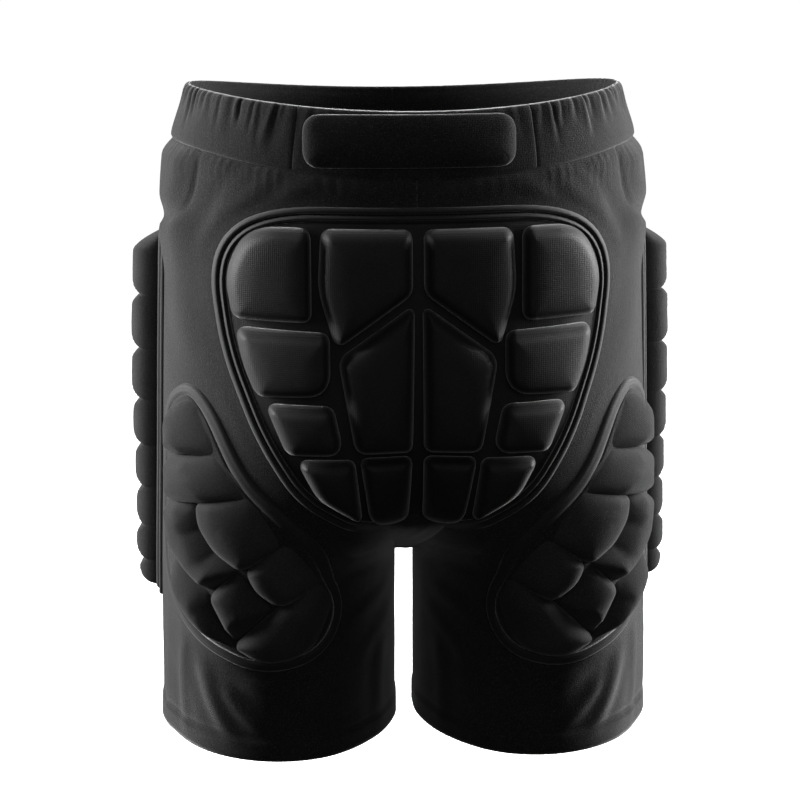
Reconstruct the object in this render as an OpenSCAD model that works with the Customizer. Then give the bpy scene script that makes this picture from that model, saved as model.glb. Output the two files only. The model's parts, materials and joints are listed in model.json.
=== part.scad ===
// Padded impact shorts: knit shorts with foam pads sewn over the seat, the tailbone, the thighs,
// the sides and the hip bones. +Z is up and the wearer's back faces -Y, so the wearer's left is -X.
// The origin is the middle of the waist opening, level with the top of the rim at the sides.

/* [Shell] */
// Half of the width across the waist rim
rim_half_w = 143; // [135:0.5:150]
// Half of the width across the hips
hip_half_w = 157.5; // [150:0.5:164]
// Half of the width across both legs at the hem
hem_half_w = 162.5; // [156:0.5:168]
// Half of the front to back depth at the waist rim
rim_half_d = 98; // [90:0.5:106]
// Half of the front to back depth over the seat
hip_half_d = 116; // [110:0.5:122]
// Half of the front to back depth of a leg at the hem
hem_half_d = 88; // [82:0.5:94]
// Depth of the crotch below the rim
crotch_z = 296; // [290:1:302]
// Depth of the hem below the rim at the sides
hem_z = 422; // [412:1:440]
// Extra drop of the hem at the back
hem_dip = 9; // [0:0.5:12]
// Thickness of the knit
knit_t = 1.2; // [0.8:0.1:1.5]

/* [Waistband] */
// Height of the waistband at the sides
band_h = 33; // [28:0.5:36]
// Drop of the rim at the front and back middle
rim_dip = 11; // [0:0.5:14]
// Further drop of the waist seam at the front and back middle
seam_dip = 7; // [0:0.5:10]
// Half of the width of the flat back panel
back_panel_half_w = 74; // [70:0.5:78]
// Thickness of the tailbone pad
lumbar_t = 5.5; // [3:0.5:8]

/* [Pads] */
// Height of the seat pad's blocks over their backing
seat_block_h = 11.5; // [6:0.5:16]
// Height of the thigh pads' blocks over their backing
thigh_block_h = 10.5; // [6:0.5:14]
// Height of the side pads' blocks over their backing
side_block_h = 12.5; // [8:0.5:15]
// Height of the hip bone pads
iliac_h = 7; // [4:0.5:9]
// Thickness of each pad's backing
backing_t = 1.6; // [1:0.1:2]
// Radius of the corded edge binding
cord_r = 2.2; // [1.5:0.1:2.6]

/* [Hidden] */
seat_names = ["hip_upper", "spine_upper", "hip_middle", "hip_lower", "hip_point", "spine_middle",
    "spine_lower"];
thigh_names = ["top", "shoulder", "outer", "middle", "inner", "lower", "crescent", "bottom"];
sides = ["left", "right"];

knit_colour = [0.13, 0.13, 0.14];
pad_colour = [0.09, 0.09, 0.10];
trim_colour = [0.05, 0.05, 0.06];

seam_gap = 0.4;        // between two panels that a seam joins
split_start_z = -140;  // the two halves begin to part into legs here
leg_split = 1.097;     // centre offset over radius once the legs are fully parted
split_power = 1.4;     // how late they part,
split_speed = 2.3;     // and how fast once past the crotch
arc_radius = 85;       // turns a distance round a leg into an angle
iliac_radius = 112;    // the same round the hip
backing_gap = 2.4;     // from the knit to the underside of a backing
block_gap = 2.3;       // from the top of a backing to its blocks
seat_bridge = 0.85;    // share of the cleft's depth that the seat pad keeps
cleft = 0.75;          // share of a leg's roundness that the cleft keeps above the crotch
trunk_side_z = -165;   // lower edge of the trunk panels at the side,
trunk_back_z = -(crotch_z - 2);  // at the back middle
trunk_front_z = -206;  // and at the front middle
leg_side_z = -235;     // upper edge of a leg at the side
leg_crotch_z = -(crotch_z + 7);  // and at the crotch
side_gap = 0.003;      // half of the gap at a side seam, in w

// Stations down the shell: height, half width
widths = [[0, rim_half_w], [-33, rim_half_w + 7], [-85, hip_half_w - 2.5], [-150, hip_half_w],
    [-250, (hip_half_w + hem_half_w) / 2], [-330, hem_half_w - 0.5], [-440, hem_half_w]];
// Stations down the shell: height, half depth
depths = [[0, rim_half_d], [-33, rim_half_d + 6], [-85, hip_half_d - 5], [-150, hip_half_d],
    [-220, hip_half_d], [-296, hip_half_d - 12], [-340, hem_half_d + 8], [-440, hem_half_d]];

// --- curves -------------------------------------------------------------------------------

function mix(a, b, t) = a + (b - a) * t;
function clamp01(t) = min(max(t, 0), 1);
function smooth(t) = let (c = clamp01(t)) c * c * (3 - 2 * c);

// Slope of a station list at station i
function slope(s, i) = let (a = max(i - 1, 0), b = min(i + 1, len(s) - 1))
    (s[b][1] - s[a][1]) / (s[b][0] - s[a][0]);
function span(s, z, i = 0) = i >= len(s) - 2 || z >= s[i + 1][0] ? i : span(s, z, i + 1);
// Value of a station list at height z, on a smooth curve through the stations
function at(s, z) = let (
    i = span(s, z), h = s[i + 1][0] - s[i][0], t = clamp01((z - s[i][0]) / h), u = 1 - t)
    s[i][1] * (1 + 2 * t) * u * u + s[i + 1][1] * (3 - 2 * t) * t * t
    + h * t * u * (slope(s, i) * u - slope(s, i + 1) * t);

// --- the shell ----------------------------------------------------------------------------

// Each half is an ellipse whose centre moves out from the middle as the legs part. The angle
// runs from 0 at the wearer's side to positive at the back and negative at the front.
function parting(z) = let (p = (split_start_z - z) / (split_start_z + crotch_z))
    p <= 0 ? 0 : p < 1 ? pow(p, split_power) : min(leg_split, 1 + split_speed * (p - 1));
function radius_x(z) = at(widths, z) / (1 + parting(z));
function centre_x(z) = parting(z) * radius_x(z);
function radius_y(z) = at(depths, z);
function roundness(z) = mix(cleft, 1, smooth((-230 - z) / (crotch_z - 230)));
// Angle at which a half meets the middle plane, or 180 on a leg
function end_angle(z) = let (c = (seam_gap / 2 - centre_x(z)) / radius_x(z)) c <= -1 ? 180 : acos(c);

function skin(z, angle, off) = let (
    c = cos(angle), k = c < 0 ? roundness(z) * c : c, s = sqrt(max(0, 1 - k * k)))
    [max(centre_x(z) + (radius_x(z) + off) * c, seam_gap / 2),
     -(radius_y(z) + off) * (angle < 0 ? -s : s), z];

// w runs from -1 at the front middle, over 0 at the side, to 1 at the back middle
function half_skin(w, z, off) = skin(z, w * end_angle(z), off);

// --- edges of the panels, as heights ------------------------------------------------------

function band_z(angle, v) = let (s = pow(sin(angle), 2))
    mix(-rim_dip * s, -band_h - (rim_dip + seam_dip) * s, v);
function waist_seam_z(w) = band_z(90 * w, 1) - seam_gap;
function trunk_edge_z(w) = w > 0
    ? mix(trunk_side_z, trunk_back_z, pow(smooth(w), 1.5))
    : mix(trunk_side_z, trunk_front_z, smooth(-w));
function leg_edge_z(w) = mix(leg_side_z, leg_crotch_z, smooth(abs(w)));
function hem_edge_z(w) = -hem_z - hem_dip * max(0, sin(180 * w));

// --- where the pads lie -------------------------------------------------------------------

// Each takes a place across, a height and a distance out from the knit. Seen from outside,
// across runs right on seat_place, side_place and band_place, and left on the others.
seat_place = function (x, z, off) let (
    c = centre_x(z), a = abs(x), bridged = seat_bridge * roundness(z) * parting(z),
    w = a < c ? bridged * (1 - smooth(a / c)) : (a - c) / (radius_x(z) + off))
    [x, -(radius_y(z) + off) * sqrt(max(0, 1 - w * w)), z];
side_place = function (y, z, off) skin(z, -asin(y / radius_y(z)), off);
band_place = function (x, z, off) let (r = radius_x(z), p = skin(z, acos(x / r), off))
    [x * (r + off) / r, p[1], z];
leg_place = function (u, z, off) skin(z, u / arc_radius * 180 / PI, off);
hip_place = function (u, z, off) skin(z, u / iliac_radius * 180 / PI, off);

// --- solids -------------------------------------------------------------------------------

function halves(quads) = [for (q = quads) each [[q[0], q[1], q[2]], [q[0], q[2], q[3]]]];

// Closed solid between an outer and an inner grid of points. Rows run down the outside, and
// columns clockwise as seen from above. A ring's last column meets its first.
module slab(outer, inner, ring = false) {
    rows = len(outer);
    cols = len(outer[0]);
    n = rows * cols;
    steps = ring ? cols : cols - 1;
    faces = [
        for (r = [0 : rows - 2], c = [0 : steps - 1])
            let (a = r * cols + c, b = r * cols + (c + 1) % cols, d = a + cols, e = b + cols)
            each [[a, d, e, b], [n + a, n + b, n + e, n + d]],
        for (a = [0 : steps - 1])
            let (b = (a + 1) % cols, d = n - cols + a, e = n - cols + b)
            each [[a, b, n + b, n + a], [d, n + d, n + e, e]],
        if (!ring) for (r = [0 : rows - 2])
            let (a = r * cols, d = a + cols, b = d - 1, e = b + cols)
            each [[a, n + a, n + d, d], [b, e, n + e, n + b]]];
    polyhedron(concat([for (r = outer) each r], [for (r = inner) each r]), halves(faces));
}

// Closed solid through a pile of rings, from the middle of its underside to the middle of its top
module pile(rings, bottom, top) {
    n = len(rings[0]);
    last = (len(rings) - 1) * n;
    walls = [for (i = [0 : len(rings) - 2], j = [0 : n - 1])
        let (a = i * n + j, b = i * n + (j + 1) % n) [a, a + n, b + n, b]];
    caps = [for (j = [0 : n - 1]) each [
        [last + n, j, (j + 1) % n], [last + n + 1, last + (j + 1) % n, last + j]]];
    polyhedron(concat([for (r = rings) each r], [bottom, top]), concat(halves(walls), caps));
}

// Panel of the shell over w from w0 to w1, between two edges given as functions of w
module panel(w0, w1, cols, rows, top, bottom, t = knit_t, ring = false) {
    steps = ring ? cols : cols - 1;
    function grid(off) = [for (r = [0 : rows]) [for (c = [0 : cols - 1])
        let (w = mix(w0, w1, c / steps)) half_skin(w, mix(top(w), bottom(w), r / rows), off)]];
    slab(grid(0), grid(-t), ring);
}

// --- pad outlines -------------------------------------------------------------------------

// Corners are [across, height, reach of the rounding along each edge]
function toward(a, b, d) = let (v = [b[0] - a[0], b[1] - a[1]]) [a[0], a[1]] + v * min(d / norm(v), 0.49);
function outline(corners, arc = 2, step = 24) = let (n = len(corners)) [
    for (i = [0 : n - 1])
        let (c = corners[i], next = corners[(i + 1) % n],
             p = toward(c, corners[(i + n - 1) % n], c[2]), q = toward(c, next, c[2]),
             r = toward(next, c, next[2]), pieces = max(1, round(norm(r - q) / step)))
        each concat(
            [for (k = [0 : arc - 1]) let (t = k / (arc - 1), m = [c[0], c[1]])
                mix(mix(p, m, t), mix(m, q, t), t)],
            [for (k = [1 : 1 : pieces - 1]) mix(q, r, k / pieces)])];
function area(p) = let (n = len(p))
    [for (i = 0, s = 0; i <= n; s = s + p[i % n][0] * p[(i + 1) % n][1] - p[(i + 1) % n][0] * p[i % n][1],
        i = i + 1) s][n] / 2;
function backwards(p) = [for (i = [len(p) - 1 : -1 : 0]) p[i]];
// Points in order round the outline, anticlockwise as seen from outside
function ordered(p, left_handed) = (area(p) > 0) == left_handed ? backwards(p) : p;
function middle(p) = [for (k = [0, 1]) let (v = [for (q = p) q[k]]) (min(v) + max(v)) / 2];
function grown(p, d) = let (n = len(p)) [for (i = [0 : n - 1]) let (
    t = p[(i + 1) % n] - p[(i + n - 1) % n], s = area(p) > 0 ? d : -d)
    p[i] + [t[1], -t[0]] * s / norm(t)];

// Foam block: a flat underside, upright sides, a rounded shoulder and a gently crowned top
module block(place, corners, base, height, left_handed = false) {
    pts = ordered(outline(corners), left_handed);
    m = middle(pts);
    function ring(share, off) = [for (p = pts) let (q = mix(m, p, share)) place(q[0], q[1], off)];
    pile([ring(0.5, base), ring(1, base), ring(0.98, base + height * 0.6),
          ring(0.84, base + height * 0.92), ring(0.45, base + height)],
         place(m[0], m[1], base), place(m[0], m[1], base + height));
}

// Thin layer under the blocks
module backing(place, corners, left_handed = false) {
    pts = ordered(grown(outline(corners, 5, 16), -cord_r - seam_gap), left_handed);
    m = middle(pts);
    function ring(share, off) = [for (p = pts) let (q = mix(m, p, share)) place(q[0], q[1], off)];
    low = backing_gap;
    high = backing_gap + backing_t;
    pile([for (s = [0.33, 0.66, 1]) ring(s, low), for (s = [1, 0.66, 0.33]) ring(s, high)],
         place(m[0], m[1], low), place(m[0], m[1], high));
}

// Corded binding round the edge of a pad
module binding(place, corners, left_handed = false) {
    pts = ordered(outline(corners, 5, 16), left_handed);
    outer = grown(pts, cord_r);
    n = len(pts);
    sides_round = 6;
    points = [for (i = [0 : n - 1], k = [0 : sides_round - 1])
        let (a = k * 360 / sides_round, q = mix(pts[i], outer[i], cos(a)))
        place(q[0], q[1], backing_gap + cord_r * (1 + sin(a)))];
    faces = [for (i = [0 : n - 1], k = [0 : sides_round - 1])
        let (a = i * sides_round, b = (i + 1) % n * sides_round, l = (k + 1) % sides_round)
        [a + k, a + l, b + l, b + k]];
    polyhedron(points, halves(faces));
}

module on_side(side) {
    if (side == "left") mirror([1, 0, 0]) children();
    else children();
}

// --- waistband ----------------------------------------------------------------------------

// The waist is one ellipse, so here the angle runs on past the back middle to the other side
function whole_skin(z, angle, off) = let (p = skin(z, angle > 90 ? 180 - angle : angle, off))
    angle > 90 ? [-p[0], p[1], z] : p;

// Folded sleeve of the waistband: up the inside, over the rim and down the outside
sleeve_outer = [[-4.6, 0.94], [-4.6, 0.06], [-3.9, 0], [-0.7, 0], [0, 0.06], [0, 1]];
sleeve_inner = [[-3.4, 0.94], [-3.4, 0.1], [-3.2, 0.07], [-1.4, 0.07], [-1.2, 0.1], [-1.2, 1]];
function sleeve(path, a0, a1, cols) = [for (p = path) [for (c = [0 : cols - 1])
    let (a = mix(a0, a1, c / (cols - 1))) whole_skin(band_z(a, p[1]), a, p[0])]];
back_panel_angle = acos(back_panel_half_w / (rim_half_w + 4));
seam_angle = 0.15;     // half of the gap at an upright seam of the waistband, in degrees

module waistband_rear_panel() color(knit_colour) {
    a0 = back_panel_angle + seam_angle;
    slab(sleeve(sleeve_outer, a0, 180 - a0, 12), sleeve(sleeve_inner, a0, 180 - a0, 12));
}
module waistband_gather(side) color(knit_colour) on_side(side) {
    a0 = -90 + seam_angle;
    a1 = back_panel_angle - seam_angle;
    slab(sleeve(sleeve_outer, a0, a1, 24), sleeve(sleeve_inner, a0, a1, 24));
}

module waist_elastic() {
    cols = 48;
    function ring(off) = [for (v = [0.14, 0.9]) [for (c = [0 : cols - 1])
        let (a = -90 + 360 * c / cols, z = band_z(a, v)) whole_skin(z, a, off)]];
    color(trim_colour) slab(ring(-1.65), ring(-2.95), ring = true);
}

module lumbar_pad() color(pad_colour)
    block(band_place, [[-69, -15, 9], [-69, -43, 9], [63, -43, 9], [63, -15, 9]], 0.8, lumbar_t);

// --- knit panels --------------------------------------------------------------------------

waist_edge = function (w) waist_seam_z(w);
trunk_edge = function (w) trunk_edge_z(w);
leg_edge = function (w) leg_edge_z(w);
hem_edge = function (w) hem_edge_z(w);

module rear_panel(side) color(knit_colour) on_side(side)
    panel(side_gap, 1, 15, 8, waist_edge, trunk_edge);
module front_panel(side) color(knit_colour) on_side(side)
    panel(-1, -side_gap, 13, 6, waist_edge, trunk_edge);
module hip_flex_panel(side) color(knit_colour) on_side(side) {
    reach = 0.985;     // stops short of the crotch, where both ends would meet
    panel(-reach, reach, 34, 4, function (w) trunk_edge_z(w) - 2 * seam_gap,
        function (w) leg_edge_z(w) + 3 * seam_gap);
}
module leg_shell(side) color(knit_colour) on_side(side)
    panel(-1, 1, 34, 6, leg_edge, hem_edge, ring = true);

module crotch_gusset() {
    half_l = 44;
    half_w = 6.6;
    end_w = 11;
    steps = 6;
    function grid(z) = [for (s = [-1 : 2 / steps : 1]) [for (side = [1, -1])
        [side * mix(half_w, end_w, s * s), half_l * -s, z]]];
    top = leg_crotch_z - seam_gap;
    color(knit_colour) slab(grid(top), grid(top - knit_t));
}

// --- seat pad -----------------------------------------------------------------------------

seat_edge_half = [[0, -67, 12], [96, -67, 40], [127, -98, 30], [119, -160, 20], [99, -213, 20],
    [74, -252, 18], [40, -274, 10], [20, -280, 10]];
seat_edge = concat(seat_edge_half, [for (p = backwards(seat_edge_half)) if (p[0] > 0) [-p[0], p[1], p[2]]]);
seat_blocks = [
    [[67, -80, 6], [104, -80, 22], [118, -110, 22], [113, -137, 5], [67, -136, 5]],
    [[5, -80, 5], [58, -80, 6], [60, -118, 10], [50, -152, 6], [5, -119, 5]],
    [[56, -146, 5], [113, -143, 7], [108, -166, 14], [99, -185, 5], [56, -182, 14]],
    [[54, -191, 5], [93, -191, 6], [80, -222, 5], [48, -221, 10]],
    [[41, -228, 4], [74, -228, 6], [62, -248, 8], [36, -265, 4]],
    [[4, -129, 4], [48, -161, 6], [38, -220, 6], [5, -220, 4]],
    [[5, -227, 4], [35, -227, 4], [28, -266, 8], [15, -270, 6], [6, -266, 4]]];

module seat_pad_backing() color(knit_colour) backing(seat_place, seat_edge);
module seat_pad_binding() color(trim_colour) binding(seat_place, seat_edge);
module seat_block(i, side) color(pad_colour) on_side(side)
    block(seat_place, seat_blocks[i], backing_gap + backing_t + block_gap, seat_block_h);

// --- thigh pads ---------------------------------------------------------------------------

thigh_edge = [[20, -202, 16], [43, -183, 13], [62, -192, 18], [92, -236, 20], [118, -258, 20],
    [160, -290, 24], [180, -326, 22], [163, -360, 22], [118, -370, 22], [64, -352, 24], [29, -320, 24],
    [20, -270, 20]];
thigh_blocks = [
    [[36, -231, 5], [33, -209, 8], [44, -197, 7], [54, -200, 6], [70, -224, 4]],
    [[36, -237, 6], [72, -229, 3], [94, -251, 4], [62, -258, 6], [40, -262, 6]],
    [[38, -267, 6], [63, -260, 4], [70, -276, 8], [82, -290, 8], [103, -299, 3], [84, -315, 6],
     [62, -303, 8], [45, -290, 8]],
    [[67, -259, 3], [98, -253, 4], [123, -279, 5], [104, -297, 5], [84, -287, 8], [70, -272, 7]],
    [[109, -298, 4], [128, -280, 3], [160, -306, 4], [131, -321, 6], [117, -311, 7]],
    [[85, -319, 5], [104, -301, 3], [127, -324, 4], [102, -348, 4], [94, -335, 7]],
    [[46, -297, 4], [80, -316, 4], [85, -325, 4], [100, -352, 4], [72, -342, 14], [52, -321, 12]],
    [[103, -351, 3], [131, -325, 4], [161, -308, 4], [169, -322, 7], [160, -344, 10], [142, -357, 10],
     [120, -360, 9]]];

module thigh_pad_backing(side) color(knit_colour) on_side(side)
    backing(leg_place, thigh_edge, left_handed = true);
module thigh_pad_binding(side) color(trim_colour) on_side(side)
    binding(leg_place, thigh_edge, left_handed = true);
module thigh_block(i, side) color(pad_colour) on_side(side)
    block(leg_place, thigh_blocks[i], backing_gap + backing_t + block_gap, thigh_block_h, true);

// --- side and hip bone pads ---------------------------------------------------------------

side_top_z = -99;
side_heights = [40, 36, 34, 31, 29, 27, 23, 16];
side_front_y = 60;     // the foam runs from the side line to here, and the backing a little past
side_border = 6;
side_groove = 3;
function side_row_z(i) = i == 0 ? side_top_z : side_row_z(i - 1) - side_heights[i - 1];

module side_blocks(first, last) color(pad_colour) for (i = [first : last]) {
    high = side_row_z(i) - side_groove / 2;
    low = side_row_z(i + 1) + side_groove / 2;
    block(side_place, [[0, high, 5], [0, low, 5], [side_front_y, low, 5], [side_front_y, high, 5]],
        backing_gap + backing_t + block_gap, side_block_h);
}
module side_pad_upper(side) on_side(side) side_blocks(0, 1);
module side_pad_middle(side) on_side(side) side_blocks(2, 3);
module side_pad_lower(side) on_side(side) side_blocks(4, 7);
module side_pad_backing(side) color(knit_colour) on_side(side) {
    front = side_front_y + side_border;
    top = side_top_z + side_border;
    bottom = side_row_z(8) - side_border * 2;
    backing(side_place, [[-side_border, top, 8], [-side_border, bottom, 10], [front, bottom, 10],
        [front, top, 8]]);
}

module iliac_pad(side) color(pad_colour) on_side(side)
    block(hip_place, [[-52, -40, 8], [52, -44, 8], [48, -64, 10], [28, -84, 16], [-28, -84, 16],
        [-48, -62, 10]], 2.2, iliac_h, true);

// --- the assembly -------------------------------------------------------------------------

waistband_rear_panel();
waist_elastic();
lumbar_pad();
crotch_gusset();
seat_pad_backing();
seat_pad_binding();
for (s = sides) {
    waistband_gather(s);
    rear_panel(s);
    front_panel(s);
    hip_flex_panel(s);
    leg_shell(s);
    iliac_pad(s);
    side_pad_backing(s);
    side_pad_upper(s);
    side_pad_middle(s);
    side_pad_lower(s);
    thigh_pad_backing(s);
    thigh_pad_binding(s);
    for (i = [0 : len(seat_blocks) - 1])
        seat_block(i, s);
    for (i = [0 : len(thigh_blocks) - 1])
        thigh_block(i, s);
}
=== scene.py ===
"""Looks of the padded impact shorts: knit, waistband, moulded pads, bindings and stitches, built round the
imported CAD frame. The frame's axes: +Z up, the wearer's back towards -Y, the wearer's left towards -X.
Shapes are worked out in millimetres and become metres where a mesh is made."""

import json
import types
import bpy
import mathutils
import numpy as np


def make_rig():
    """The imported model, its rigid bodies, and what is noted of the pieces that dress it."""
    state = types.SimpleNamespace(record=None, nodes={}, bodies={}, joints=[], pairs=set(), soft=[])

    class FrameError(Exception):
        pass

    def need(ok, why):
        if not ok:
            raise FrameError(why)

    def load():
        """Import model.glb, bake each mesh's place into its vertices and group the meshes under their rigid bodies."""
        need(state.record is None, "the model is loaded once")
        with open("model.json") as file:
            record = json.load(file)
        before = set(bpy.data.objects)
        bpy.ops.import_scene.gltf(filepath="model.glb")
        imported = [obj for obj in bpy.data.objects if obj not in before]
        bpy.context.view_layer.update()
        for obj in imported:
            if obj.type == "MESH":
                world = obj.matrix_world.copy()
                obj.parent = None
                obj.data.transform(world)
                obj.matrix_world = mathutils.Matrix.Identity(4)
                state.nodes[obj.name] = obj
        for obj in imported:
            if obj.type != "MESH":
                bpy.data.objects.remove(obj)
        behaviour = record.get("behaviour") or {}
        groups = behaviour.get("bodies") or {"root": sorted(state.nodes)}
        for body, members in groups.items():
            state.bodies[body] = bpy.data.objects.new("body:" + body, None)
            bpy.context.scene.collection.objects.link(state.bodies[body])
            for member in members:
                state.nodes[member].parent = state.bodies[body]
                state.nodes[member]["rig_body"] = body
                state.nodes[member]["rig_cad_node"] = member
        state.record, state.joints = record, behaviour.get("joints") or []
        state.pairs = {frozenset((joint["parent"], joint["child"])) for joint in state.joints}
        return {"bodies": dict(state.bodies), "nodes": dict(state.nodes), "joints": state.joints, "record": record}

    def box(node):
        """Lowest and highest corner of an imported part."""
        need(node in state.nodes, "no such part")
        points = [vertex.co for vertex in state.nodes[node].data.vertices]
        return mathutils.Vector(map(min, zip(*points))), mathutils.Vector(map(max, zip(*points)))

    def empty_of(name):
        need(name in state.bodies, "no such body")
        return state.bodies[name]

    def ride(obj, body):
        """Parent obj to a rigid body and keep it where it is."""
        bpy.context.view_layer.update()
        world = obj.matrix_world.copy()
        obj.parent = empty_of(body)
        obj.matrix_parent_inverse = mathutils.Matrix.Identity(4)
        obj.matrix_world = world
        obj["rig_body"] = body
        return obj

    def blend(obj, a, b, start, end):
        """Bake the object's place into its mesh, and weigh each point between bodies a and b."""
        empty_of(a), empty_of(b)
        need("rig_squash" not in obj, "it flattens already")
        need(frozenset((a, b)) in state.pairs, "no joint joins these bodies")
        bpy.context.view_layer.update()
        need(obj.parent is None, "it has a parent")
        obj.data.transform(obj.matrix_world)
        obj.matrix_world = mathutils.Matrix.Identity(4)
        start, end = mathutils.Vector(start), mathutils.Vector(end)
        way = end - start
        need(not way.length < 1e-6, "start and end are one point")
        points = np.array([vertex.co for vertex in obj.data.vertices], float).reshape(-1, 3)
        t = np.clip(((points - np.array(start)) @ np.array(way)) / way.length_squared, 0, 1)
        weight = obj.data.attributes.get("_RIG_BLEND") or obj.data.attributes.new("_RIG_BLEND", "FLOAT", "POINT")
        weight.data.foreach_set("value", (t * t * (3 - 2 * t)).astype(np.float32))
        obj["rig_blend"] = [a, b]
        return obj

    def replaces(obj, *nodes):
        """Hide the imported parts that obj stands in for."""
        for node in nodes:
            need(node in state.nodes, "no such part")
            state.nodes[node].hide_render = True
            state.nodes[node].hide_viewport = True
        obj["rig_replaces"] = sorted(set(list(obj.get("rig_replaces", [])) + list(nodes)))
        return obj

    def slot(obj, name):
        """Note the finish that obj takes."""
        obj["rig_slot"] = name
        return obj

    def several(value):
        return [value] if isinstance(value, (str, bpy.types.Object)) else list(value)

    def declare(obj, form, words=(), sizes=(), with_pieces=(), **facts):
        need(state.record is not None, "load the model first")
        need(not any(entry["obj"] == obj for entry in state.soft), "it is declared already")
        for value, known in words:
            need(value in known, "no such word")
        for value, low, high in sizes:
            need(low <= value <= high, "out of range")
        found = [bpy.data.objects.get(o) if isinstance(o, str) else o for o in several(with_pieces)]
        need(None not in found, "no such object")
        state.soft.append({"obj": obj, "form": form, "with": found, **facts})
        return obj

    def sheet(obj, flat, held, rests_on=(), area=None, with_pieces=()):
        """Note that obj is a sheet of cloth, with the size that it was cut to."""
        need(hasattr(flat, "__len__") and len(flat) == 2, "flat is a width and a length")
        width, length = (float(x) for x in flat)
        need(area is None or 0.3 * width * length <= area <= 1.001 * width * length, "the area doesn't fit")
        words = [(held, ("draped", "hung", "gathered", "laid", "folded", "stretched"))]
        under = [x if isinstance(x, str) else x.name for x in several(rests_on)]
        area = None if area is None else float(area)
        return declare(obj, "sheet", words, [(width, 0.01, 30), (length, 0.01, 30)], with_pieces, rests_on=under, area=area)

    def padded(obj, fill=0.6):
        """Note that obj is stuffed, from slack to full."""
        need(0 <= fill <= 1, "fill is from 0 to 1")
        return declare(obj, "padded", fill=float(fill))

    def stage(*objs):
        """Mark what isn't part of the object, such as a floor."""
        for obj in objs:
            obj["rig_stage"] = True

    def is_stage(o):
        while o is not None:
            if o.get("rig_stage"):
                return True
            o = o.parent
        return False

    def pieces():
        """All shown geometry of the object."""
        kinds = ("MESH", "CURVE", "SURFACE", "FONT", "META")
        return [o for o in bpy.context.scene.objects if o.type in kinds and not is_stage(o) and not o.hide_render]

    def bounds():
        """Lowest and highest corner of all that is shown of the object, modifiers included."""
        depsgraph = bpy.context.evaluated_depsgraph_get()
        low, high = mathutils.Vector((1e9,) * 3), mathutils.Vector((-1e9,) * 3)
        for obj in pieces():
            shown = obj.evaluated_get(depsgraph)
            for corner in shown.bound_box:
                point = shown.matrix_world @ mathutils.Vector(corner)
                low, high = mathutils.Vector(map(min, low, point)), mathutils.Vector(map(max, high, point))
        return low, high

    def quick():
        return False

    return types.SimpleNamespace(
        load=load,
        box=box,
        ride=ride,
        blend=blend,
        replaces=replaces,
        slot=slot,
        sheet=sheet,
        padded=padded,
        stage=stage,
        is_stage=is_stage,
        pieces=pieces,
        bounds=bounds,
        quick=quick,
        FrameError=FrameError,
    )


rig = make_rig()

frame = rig.load()

import json
import math

import bmesh
import bpy
import numpy as np
from mathutils import Vector
from mathutils.geometry import delaunay_2d_cdt

CAD_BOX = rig.bounds()
MM = 0.001
SIDES = {"left": -1, "right": 1}
LOW, HIGH = 0, 1
X, Y, Z = 0, 1, 2


def edge_of(node, end, axis):
    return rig.box(node)[end][axis] / MM


# --- the shell, as the CAD source has it ---

# Half widths and half depths at the rim, the hips and the hem. Each node's own edge lies a little off the
# shell that it was cut from, and the number after it takes that back.
RIM_HALF_W = edge_of("waistband_gather_right", HIGH, X) - 7
HIP_HALF_W = edge_of("rear_panel_right", HIGH, X) - 0.4
HEM_HALF_W = edge_of("leg_shell_right", HIGH, X) + 0.1
RIM_HALF_D = -edge_of("waistband_rear_panel", LOW, Y) - 8.6
HIP_HALF_D = -edge_of("rear_panel_right", LOW, Y) - 1
HEM_HALF_D = HIP_HALF_D - 28
CROTCH_Z = 2 - edge_of("rear_panel_right", LOW, Z)
HEM_DIP = 9
HEM_Z = -edge_of("leg_shell_right", LOW, Z) - HEM_DIP
BAND_H, RIM_DIP, SEAM_DIP = 33, 11, 7
SPLIT_START_Z, LEG_SPLIT, SPLIT_POWER, SPLIT_SPEED = -140, 1.097, 1.4, 2.3
CLEFT, CLEFT_START, SEAT_BRIDGE = 0.75, 230, 0.85
ARC_RADIUS, ILIAC_RADIUS = 85, 112
SEAM_HALF_GAP = 0.02
BACK_PANEL_HALF_W, BAND_FLARE = 74, 4
BACK_PANEL_ANGLE = math.degrees(math.acos(BACK_PANEL_HALF_W / (RIM_HALF_W + BAND_FLARE)))

# Height, and the half width or half depth there
WIDTHS = [(0, RIM_HALF_W), (-33, RIM_HALF_W + 7), (-85, HIP_HALF_W - 2.5), (-150, HIP_HALF_W),
          (-250, (HIP_HALF_W + HEM_HALF_W) / 2), (-330, HEM_HALF_W - 0.5), (-440, HEM_HALF_W)]
DEPTHS = [(0, RIM_HALF_D), (-33, RIM_HALF_D + 6), (-85, HIP_HALF_D - 5), (-150, HIP_HALF_D),
          (-220, HIP_HALF_D), (-296, HIP_HALF_D - 12), (-340, HEM_HALF_D + 8), (-440, HEM_HALF_D)]


def mix(a, b, t):
    return a + (b - a) * t


def smooth(t):
    c = np.clip(t, 0, 1)
    return c * c * (3 - 2 * c)


def bell(x, width):
    return np.exp(-(x / width) ** 2)


def at(stations, z):
    """Value of a station list at height z, on a smooth curve through the stations."""
    down = np.array([-s[0] for s in stations], float)
    value = np.array([s[1] for s in stations], float)
    slope = np.empty(len(down))
    slope[1:-1] = (value[2:] - value[:-2]) / (down[2:] - down[:-2])
    slope[0] = (value[1] - value[0]) / (down[1] - down[0])
    slope[-1] = (value[-1] - value[-2]) / (down[-1] - down[-2])
    d = -np.asarray(z, float)
    i = np.clip(np.searchsorted(down, d, side="right") - 1, 0, len(down) - 2)
    h = down[i + 1] - down[i]
    t = np.clip((d - down[i]) / h, 0, 1)
    u = 1 - t
    return (value[i] * (1 + 2 * t) * u * u + value[i + 1] * (3 - 2 * t) * t * t
            + h * t * u * (slope[i] * u - slope[i + 1] * t))


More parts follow.
